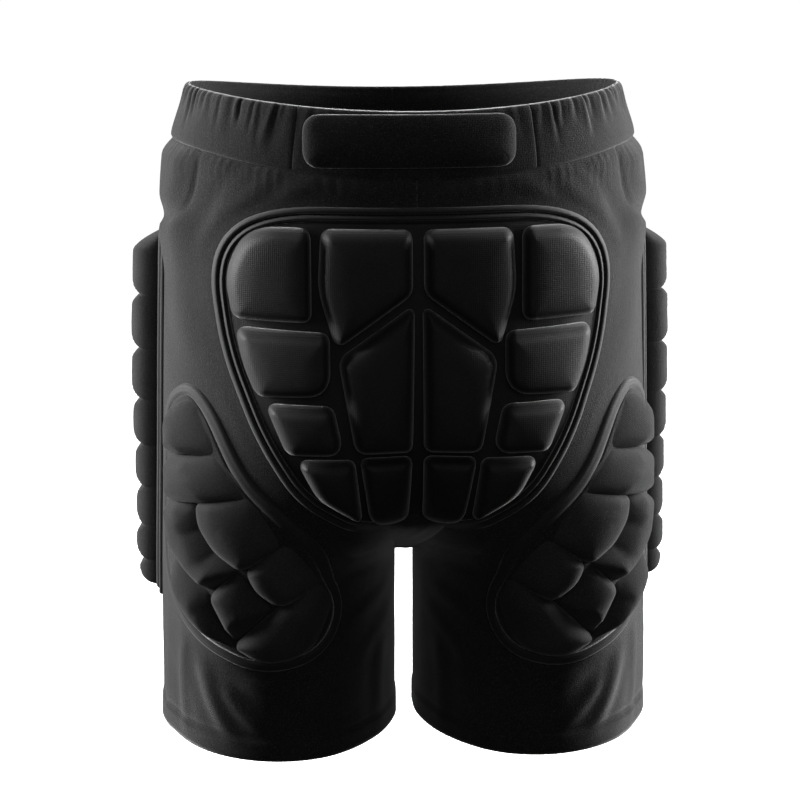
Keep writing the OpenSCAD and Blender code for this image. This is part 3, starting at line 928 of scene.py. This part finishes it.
def scallop(i, high, low):
    last = (SIDE_FRONT_Y, high, 4) if i else (SIDE_FRONT_Y, high, 4, TOP_SLOPE)
    corners = [(0, high, 4), (0, low, 4), (SIDE_FRONT_Y, low, 4), last]
    return moulded(f"row{i}", side_place, corners, SCALLOP_HEIGHTS[i], shoulder=12.0, crown=3.6, grow=0.4,
                   base=FOOT - 0.6, power=2.0, material=moulded_knit)


scallops = [scallop(i, high, low) for i, (high, low) in enumerate(side_rows())]
iliac = moulded("iliac", hip_place, ILIAC_EDGE, 2.4, shoulder=16.0, crown=0.3, base=0.1,
                material=moulded_knit)
lumbar = moulded("lumbar", band_place, LUMBAR_EDGE, 5.4, shoulder=9.0, crown=1.6, grow=0.5, base=0.2,
                 material=knit)
swell([*thigh.values(), *scallops, lumbar], pressure=400.0, cap=1.2)

for side, sign in SIDES.items():
    base = pad_base(leg_place, THIGH_EDGE, TAPE_PROFILE, TAPE_WIDTH)
    for obj in base_objects(base, "thigh_pad", side, sign, length_round(THIGH_EDGE, leg_place), knit):
        on_leg(obj, side)
    for block, pad in thigh.items():
        name = f"thigh_block_{block}_{side}"
        on_leg(pad_object(name, [pad], sign, 0.8, name), side)
    rows = [row_on(leg_place, outline(THIGH_EDGE, 1.5, grow), off, sign)
            for grow, off in ((-2.2, 2.15), (-4.4, 2.3))]
    on_leg(stitch_rows(f"thigh_pad_stitches_{side}", rows, length=2.2, gap=1.3, radius=0.3), side)
    base = pad_base(side_place, SIDE_EDGE, STRIP_PROFILE, WHOLE)
    points, faces, uv = base["binding"]
    strip = make(f"side_pad_backing_{side}", mirrored(points, sign), faces if sign > 0 else faces[:, ::-1],
                 uv, binding)
    thicken(strip, KNIT_THICKNESS)
    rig.slot(strip, "pad_cover")
    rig.replaces(strip, f"side_pad_backing_{side}")
    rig.sheet(strip, flat=(0.084, 0.262), held="stretched")
    on_leg(strip, side)
    for part, first, last in (("upper", 0, 2), ("middle", 2, 4), ("lower", 4, 8)):
        name = f"side_pad_{part}_{side}"
        on_leg(pad_object(name, scallops[first:last], sign, 0.8, name), side)
    rows = [row_on(side_place, outline(SIDE_EDGE, 1.5, -3.1), 1.5, sign)]
    on_leg(stitch_rows(f"side_pad_stitches_{side}", rows, length=2.4, gap=1.2, radius=0.3), side)
    name = f"iliac_pad_{side}"
    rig.ride(pad_object(name, [iliac], sign, 0.9, name), "trunk")
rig.ride(pad_object("lumbar_pad", [lumbar], 1, 0.9, "lumbar_pad"), "trunk")


# --- knit halves ---

ILIAC_RAISE = 4.9
HEM_TURN = 15.0
INNER_SEAM = 0.07      # share of a half's girth beside its seam where the waves fade out
ILIAC_LOOP = outline([(u, z + (20 if z > -50 else 0), r) for u, z, r in ILIAC_EDGE], 3.0, 5.0)
PRESSED = [(SEAT_EDGE, "seat"), (THIGH_EDGE, "leg"), (SIDE_EDGE, "side")]
LOOPS = {kind: outline(corners, 3.0, 2.4) for corners, kind in PRESSED}

# Folds of the knit: the angle and height of both ends on a half, then the width and rise of the ridge
FOLDS = [
    ((38, -345), (37, -424), 5.0, 1.5), ((47, -358), (66, -418), 6.0, 1.7),
    ((58, -376), (84, -414), 5.0, 1.3), ((22, -345), (19, -424), 6.0, 1.2),
    ((64, -368), (112, -392), 7.0, 1.3), ((90, -374), (128, -400), 7.0, 1.0),
    ((150, -312), (112, -316), 4.0, 0.5), ((158, -326), (118, -345), 5.0, 0.6),
    ((162, -340), (128, -372), 6.0, 0.6), ((104, -262), (124, -296), 4.5, 0.9),
    ((92, -246), (118, -290), 4.0, 0.9), ((60, -47), (30, -104), 5.5, 1.0),
    ((66, -47), (52, -98), 5.0, 1.1), ((50, -45), (36, -84), 4.0, 0.7), ((20, -92), (30, -176), 11.0, 1.0),
    ((-30, -70), (-50, -170), 12.0, 1.5), ((-64, -190), (-110, -270), 10.0, 2.0),
    ((-90, -210), (-135, -285), 8.0, 1.8), ((-60, -250), (-140, -300), 9.0, 1.8),
    ((-40, -330), (-30, -424), 9.0, 1.5), ((-80, -330), (-95, -420), 9.0, 1.4),
    ((-120, -320), (-140, -415), 8.0, 1.2), ((150, -350), (146, -425), 7.0, 0.9),
]


def ridge(across, height, a, b, width, rise):
    """Soft fold along a line, fading out at both ends."""
    p = np.stack([across, height], -1) - np.array(a, float)
    ab = np.array(b, float) - np.array(a, float)
    t = (p @ ab) / (ab @ ab)
    bow = 0.06 * np.linalg.norm(ab) * np.sin(np.pi * np.clip(t, 0, 1))
    side = (p[..., 0] * ab[1] - p[..., 1] * ab[0]) / np.linalg.norm(ab) - bow
    fade = smooth(t / 0.3) * smooth((1.12 - t) / 0.5)
    hollow_beside = 0.45 * bell(side - 1.7 * width, width)
    return rise * fade * (bell(side, width) - hollow_beside)


def bridging(across, z):
    """Where the knit is stretched from the hip bone pad down to the side pad, from 0 to 1."""
    return smooth((-z - 70) / 16) * smooth((62 - np.abs(across)) / 30) * smooth((124 + z) / 34)


def hem_waves(angle, up):
    """Waves of the hem, which fade out with the height above its edge."""
    return 1.4 * wander(np.radians(angle) * ARC_RADIUS, 62, 21) * np.exp(-np.maximum(up, 0) / 26)


def folds(w, z, angle, places):
    """How far the knit stands out from the CAD skin."""
    arc = np.radians(angle) * ARC_RADIUS
    out = 0.7 * wander(arc + 0.4 * z, 70, 3) * wander(z, 95, 5)
    for (a, za), (b, zb), width, rise in FOLDS:
        out = out + ridge(arc, z, (math.radians(a) * ARC_RADIUS, za), (math.radians(b) * ARC_RADIUS, zb),
                          width, rise)
    # Puckers under the waist seam
    below = waist_seam_z(w) - z
    pucker = np.abs(wander(arc + 1.5 * wander(z, 20, 8), 10, 11)) ** 0.8
    out = out + 1.3 * pucker * np.exp(-below / 11) * smooth(below / 3)
    up = z - hem_edge_z(w)
    out = out + hem_waves(angle, up)
    # Flat against the pads' edges, where the knit is held down, with a groove along them
    calm = np.ones_like(out)
    for kind, loop in LOOPS.items():
        across, height, valid = places[kind]
        d = np.full(out.shape, -50.0)
        near = valid & (across > loop[:, 0].min() - 20) & (across < loop[:, 0].max() + 20)
        d[near] = depth_in(np.stack([across[near], height[near]], -1), loop)
        calm = np.minimum(calm, smooth((-d - 0.5) / 9))
        out = out - 0.5 * bell(d + 1.5, 2.2)
    out = out * calm * smooth((1 - np.abs(w)) / INNER_SEAM)
    # The hem is turned up as far as its stitches, with a narrow groove above them
    out = out + 0.75 * smooth((HEM_TURN - up) / 1.5) - 0.7 * bell(up - HEM_TURN - 0.6, 0.8)
    # Raised over the hip bone pad, and stretched from there down to the side pad
    across = np.radians(angle) * ILIAC_RADIUS
    d = depth_in(np.stack([across.ravel(), z.ravel()], -1), ILIAC_LOOP).reshape(out.shape)
    under = bridging(across, z)
    dome = 0.2 * smooth((d + 0.6) / 2.4) + 0.8 * smooth(d / 20)
    out = out + ILIAC_RAISE * dome * smooth(below / 12) * (1 - 0.35 * under)
    out = out + 4.0 * under * smooth((4 - d) / 8)
    out = out - 0.6 * bell(d + 1.5, 1.2) * smooth((70 + z) / 10 + 1)
    # Grooves of the middle seams and the waist seam
    middle_seam = np.where(end_angle(z) < 179, 1.0, 0.0) * (1 - smooth((1 - np.abs(w)) / 0.012))
    return out - 0.9 * middle_seam - 1.4 * (1 - smooth((below - 0.3) / 6.5))


COLS, ROWS = 190, 162
w = np.linspace(-1, 1, COLS)[None, :] * np.ones((ROWS, 1))
# Rows closer together at the waist seam, which is a narrow groove
SEAM_ROWS = np.linspace(0.005, 0.0155, 9)
v = np.concatenate([[0], SEAM_ROWS, np.linspace(0.018, 1, ROWS - 10)])[:, None] * np.ones((1, COLS))
z = mix(waist_seam_z(w) + 2.5, hem_edge_z(w), v)
angle = w * end_angle(z)
flat_skin = skin(z, angle, 0.0)
PLACES = {"seat": (flat_skin[..., 0], z, angle > 5),
          "leg": (np.radians(angle) * ARC_RADIUS, z, angle > -10),
          "side": (flat_skin[..., 1], z, np.abs(angle) < 60)}
stand = folds(w, z, angle, PLACES)
knit_points = skin(z, angle, stand)


def hem_row(up, sign):
    """Stitches at a height above the hem's edge, on its waves."""
    ww = np.linspace(-1, 1, 420)
    zz = hem_edge_z(ww) + up
    aa = ww * end_angle(zz)
    off = 0.5 + hem_waves(aa, up) * smooth((1 - np.abs(ww)) / INNER_SEAM)
    return row_on(skin, np.stack([zz, aa], -1), off, sign, False)


knit_uv = np.stack([np.radians(angle) * (radius_x(z) + radius_y(z)) / 2, z], -1) * MM
for side, sign in SIDES.items():
    faces = grid_faces(ROWS, COLS)
    obj = make(f"knit_half_{side}", mirrored(knit_points.reshape(-1, 3), sign),
               faces if sign > 0 else faces[:, ::-1], knit_uv.reshape(-1, 2), knit)
    weld(obj, 0.05 * MM)
    thicken(obj, KNIT_THICKNESS)
    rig.slot(obj, "knit")
    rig.replaces(obj, f"rear_panel_{side}", f"front_panel_{side}", f"hip_flex_panel_{side}",
                f"leg_shell_{side}")
    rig.sheet(obj, flat=(0.56, 0.4), held="stretched", area=0.19)
    on_leg(obj, side)
    rows = [hem_row(up, sign) for up in (14.2, 12.4)]
    on_leg(stitch_rows(f"hem_stitches_{side}", rows, length=2.4, gap=1.1, radius=0.26), side)
    edge = outline(ILIAC_EDGE, 1.5, 6.5)
    rear_part = opened(edge, edge[:, 1] < -44)
    lift = bridging(rear_part[:, 0], rear_part[:, 1])
    hip_row = row_on(hip_place, rear_part, 0.2 + 3.0 * lift, sign, False)
    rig.ride(stitch_rows(f"hip_stitches_{side}", [hip_row], length=2.2, gap=1.3, radius=0.28), "trunk")


# --- waistband ---

# Section of the folded sleeve, from its seam up the outside, over the rim and down the inside: distance out
# from the shell, share of the band's height
SLEEVE = ([(-1.7, 1.015), (-0.9, 1.006), (0.0, 0.99), (0.5, 0.965)]
          + [(0.65, s) for s in np.linspace(0.93, 0.1, 16)]
          + [(0.3, 0.05), (-0.5, 0.012), (-1.4, -0.004), (-2.6, 0.016), (-3.8, 0.05), (-4.5, 0.09)]
          + [(-4.9, s) for s in np.linspace(0.16, 0.95, 9)])


def band_lift(angles, s):
    """What the band's outer side adds to the sleeve's profile: it is wider over the hips."""
    side_flare = bell(angles, 34) + bell(180 - angles, 34)
    return 1.6 * side_flare * smooth((s - 0.3) / 0.7) - 2.3 + 0.9 * smooth(s / 0.9)


def gathers(arc, s, depth, seed):
    """Creases of the gathered waist: uneven, sharp at the rim and fading towards the seam."""
    r = np.random.default_rng(seed)
    out = 0.3 * wander(arc, 30, seed) * (1 - s)
    spot = arc.min()
    while spot < arc.max():
        spot += r.uniform(4.5, 13)
        narrow, reach = r.uniform(1.1, 2.4), r.uniform(0.3, 0.9)
        lean, deep = r.uniform(-6, 6), r.uniform(0.4, 1.3)
        width = narrow * (1 + 1.4 * s)
        off = arc - spot - lean * s
        fade = smooth((reach - s) / (0.75 * reach)) * deep
        swollen_beside = 0.55 * bell(off - 1.5 * width, width)
        out = out + fade * (swollen_beside - bell(off, width))
    return depth * out


def waist_piece(name, a0, a1, cols, depth, seed, flat, seams=(True, True)):
    """A piece of the sleeve between two angles. seams says at which ends it dips into a seam."""
    angles = np.linspace(a0, a1, cols)[None, :]
    off = np.array([p[0] for p in SLEEVE])[:, None] * np.ones((1, cols))
    s = np.array([p[1] for p in SLEEVE])[:, None] * np.ones((1, cols))
    spread = np.radians(angles) * (RIM_HALF_W + RIM_HALF_D) / 2 * np.ones_like(off)
    outer = 1 - smooth((-off - 1.6) / 2.5)
    from_seams = (np.where(seams[0], angles - a0, 9), np.where(seams[1], a1 - angles, 9))
    dip = 1 - smooth(from_seams[0] / 0.9) * smooth(from_seams[1] / 0.9)
    front = smooth((-np.cos(np.radians(angles - 90)) - 0.1) / 0.3)
    ripple = gathers(spread, np.clip(s, 0, 1), depth, seed) * (1 - 0.8 * front)
    seam_end = 1 - smooth((s - 0.8) / 0.2) * 0.75
    off = off + ripple * seam_end * mix(-0.15, 1.0, outer) - 0.45 * dip * outer
    off = off + outer * band_lift(angles, s)
    z = band_z(angles, s) + 0.12 * ripple * (1 - smooth(s / 0.2))
    points = whole_skin(z, angles * np.ones_like(off), off)
    uv = np.stack([spread, z + 6 * (1 - outer)], -1) * MM
    obj = make(name, points.reshape(-1, 3), grid_faces(len(SLEEVE), cols)[:, ::-1], uv.reshape(-1, 2), knit)
    thicken(obj, BAND_THICKNESS)
    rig.slot(obj, "knit")
    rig.replaces(obj, name)
    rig.sheet(obj, flat=flat, held="gathered")
    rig.ride(obj, "trunk")


LEFT_SEAM = 180 - BACK_PANEL_ANGLE
waist_piece("waistband_rear_panel", BACK_PANEL_ANGLE, LEFT_SEAM, cols=110, depth=0.35, seed=33,
            flat=(0.155, 0.078))
waist_piece("waistband_gather_right", -90, BACK_PANEL_ANGLE, cols=330, depth=1.0, seed=34,
            flat=(0.4, 0.074), seams=(False, True))
waist_piece("waistband_gather_left", LEFT_SEAM, 270, cols=330, depth=1.0, seed=35,
            flat=(0.4, 0.074), seams=(True, False))

cols = 240
a = np.linspace(-90, 270, cols, endpoint=False)[None, :]
s = np.linspace(0.14, 0.9, 12)[:, None]
elastic_points = whole_skin(band_z(a, s), a * np.ones_like(s), -1.65)
elastic_uv = np.stack([np.radians(a) * 120 * np.ones_like(s), band_z(a, s)], -1) * MM
band = make("waist_elastic", elastic_points.reshape(-1, 3), grid_faces(12, cols, True)[:, ::-1],
            elastic_uv.reshape(-1, 2), elastic)
thicken(band, ELASTIC_THICKNESS)
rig.slot(band, "elastic")
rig.replaces(band, "waist_elastic")
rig.sheet(band, flat=(0.79, 0.03), held="stretched")
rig.ride(band, "trunk")


def band_row(angles, share, off):
    loop = np.stack([band_z(angles, share), angles], -1)
    return row_on(whole_skin, loop, off + band_lift(angles, share), 1, False)


def waist_row(share, off):
    return band_row(np.linspace(-90, 270, 1080), share, off)


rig.ride(stitch_rows("waist_stitches", [waist_row(0.94, 0.75)], length=2.4, gap=1.4, radius=0.2), "trunk")
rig.ride(stitch_rows("waist_seam_stitches", [waist_row(1.006, 0.0)], length=3.4, gap=0.2, radius=0.42),
        "trunk")


upright = [band_row(np.full(60, seam + shift), np.linspace(0.1, 0.92, 60), 0.75)
           for seam in (BACK_PANEL_ANGLE, LEFT_SEAM) for shift in (-1.1, 1.1)]
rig.ride(stitch_rows("waist_panel_stitches", upright, length=2.2, gap=1.2, radius=0.26), "trunk")


# --- crotch gusset ---

# Down from the seat pad's edge as height and half width, then forwards under the crotch as y and height
GUSSET_BACK = [(-265, 23), (-272, 21), (-280, 17.5), (-287, 14), (-293, 11.5), (-299, 9.5), (-307, 7.5)]
GUSSET_UNDER = [(-28, -308.5), (-10, -308.5), (10, -307.5), (30, -304.5), (46, -299), (56, -289)]


def gusset():
    """Tapering panel from under the seat pad, on the inner sides of the legs and through to the front."""
    t = np.linspace(-1, 1, 31)
    rows = []
    for z in np.linspace(GUSSET_BACK[0][0], GUSSET_BACK[-1][0], 30):
        half = np.interp(-z, [-p[0] for p in GUSSET_BACK], [p[1] for p in GUSSET_BACK])
        x, z = half * t, np.full(len(t), z)
        edge_angle = np.degrees(np.arccos((half - centre_x(z)) / radius_x(z)))
        on_knit = skin(z, edge_angle, 1.7)[:, Y] - 1.2 * (1 - t * t)
        on_pad = seat_place(x, z, FOOT + 0.5)[:, Y]
        rows.append(np.stack([x, mix(on_pad, on_knit, smooth((-266 - z) / 8)), z], -1))
    for y in np.linspace(GUSSET_UNDER[0][0], GUSSET_UNDER[-1][0], 24):
        z = np.full(len(t), np.interp(y, *zip(*GUSSET_UNDER)))
        reach = np.sqrt(1 - (y / radius_y(z)) ** 2)
        half = np.clip(centre_x(z) - radius_x(z) * reach, 3.0, 20) + 3.5
        rows.append(np.stack([half * t, np.full(len(t), y), z], -1))
    points = np.array(rows)
    for _ in range(8):
        points[1:-1] = (points[:-2] + 2 * points[1:-1] + points[2:]) / 4
    points[..., 2] += 0.3 * wander(points[..., 1] + 2 * points[..., 0], 24, 41) * (1 - t * t)
    length = np.linspace(0, 0.17, len(rows))[:, None] * np.ones(len(t))
    uv = np.stack([points[..., 0] * MM, length], -1).reshape(-1, 2)
    obj = make("crotch_gusset", points.reshape(-1, 3), grid_faces(len(rows), len(t)), uv, knit)
    thicken(obj, KNIT_THICKNESS)
    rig.slot(obj, "knit")
    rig.replaces(obj, "crotch_gusset")
    area = cloth_area(obj)
    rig.sheet(obj, flat=(0.055, 0.17), held="stretched", area=min(max(area, 0.0029), 0.0093))
    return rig.ride(obj, "trunk")


gusset()


# --- camera, floor and light ---

AIM = Vector((0, 0, -0.212))
DISTANCE, AZIMUTH, ELEVATION = 1.6, math.radians(-4.5), math.radians(12)
SENSOR_WIDTH, FOCAL_LENGTH, SHIFT = 36, 107.46, (-0.0044, 0.00125)
camera = bpy.data.objects.new("camera", bpy.data.cameras.new("camera"))
back = Vector((math.sin(AZIMUTH) * math.cos(ELEVATION), -math.cos(AZIMUTH) * math.cos(ELEVATION),
               math.sin(ELEVATION)))
camera.location = AIM + back * DISTANCE
camera.rotation_euler = (-back).to_track_quat("-Z", "Y").to_euler()
camera.data.sensor_width = SENSOR_WIDTH
camera.data.lens = FOCAL_LENGTH
camera.data.shift_x, camera.data.shift_y = SHIFT
camera.data.clip_end = 60
bpy.context.scene.collection.objects.link(camera)
bpy.context.scene.camera = camera

# A white floor that turns up into a wall far away. It lights nothing, so the black cloth stays black.
FLOOR_Z = CAD_BOX[0].z - 0.12
STUDIO_PROFILE = [(0, 0), (14, 0), (17, 0.8), (19, 3), (20, 7), (19, 13), (13, 19), (0, 21)]


def studio():
    around = 48
    turn = np.arange(around) * 2 * np.pi / around
    points = np.array([(r * np.cos(a), r * np.sin(a), FLOOR_Z + h)
                       for r, h in STUDIO_PROFILE for a in turn])
    obj = make("studio", points / MM, grid_faces(len(STUDIO_PROFILE), around, True))
    material = bpy.data.materials.new("studio_white")
    material.use_nodes = True
    shader = material.node_tree.nodes["Principled BSDF"]
    look = {"Base Color": (0.8, 0.8, 0.8, 1), "Roughness": 0.9, "Specular IOR Level": 0.0,
            "Emission Color": (1, 1, 1, 1), "Emission Strength": 1.0}
    for name, value in look.items():
        shader.inputs[name].default_value = value
    obj.data.materials.append(material)
    obj.visible_diffuse = obj.visible_glossy = False
    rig.stage(obj)


studio()


def softbox(name, place, size, power):
    data = bpy.data.lights.new(name, "AREA")
    data.shape = "RECTANGLE"
    data.size, data.size_y = size
    data.energy = power
    obj = bpy.data.objects.new(name, data)
    obj.location = place
    obj.rotation_euler = (AIM - Vector(place)).to_track_quat("-Z", "Y").to_euler()
    bpy.context.scene.collection.objects.link(obj)


softbox("side_left", (-1.28, 0.35, 0.18), size=(0.6, 0.8), power=52)
softbox("side_right", (1.28, 0.35, 0.18), size=(0.6, 0.8), power=56)
softbox("front_fill", (0.1, -2.6, 0.6), size=(2.2, 1.2), power=8.0)
softbox("top", (0, -0.5, 1.5), size=(1.6, 1.0), power=3)
softbox("far_fill", (0, 2.4, -0.3), size=(2.2, 1.4), power=5)

world = bpy.data.worlds.new("studio")
bpy.context.scene.world = world
world.use_nodes = True
world.node_tree.nodes["Background"].inputs["Color"].default_value = (1, 1, 1, 1)
world.node_tree.nodes["Background"].inputs["Strength"].default_value = 0.03
bpy.context.scene.view_settings.view_transform = "Standard"
bpy.context.scene.view_settings.look = "None"

boxes = {"cad": [list(c) for c in CAD_BOX], "visual": [list(c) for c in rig.bounds()]}
with open("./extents.json", "w") as out:
    json.dump(boxes, out)
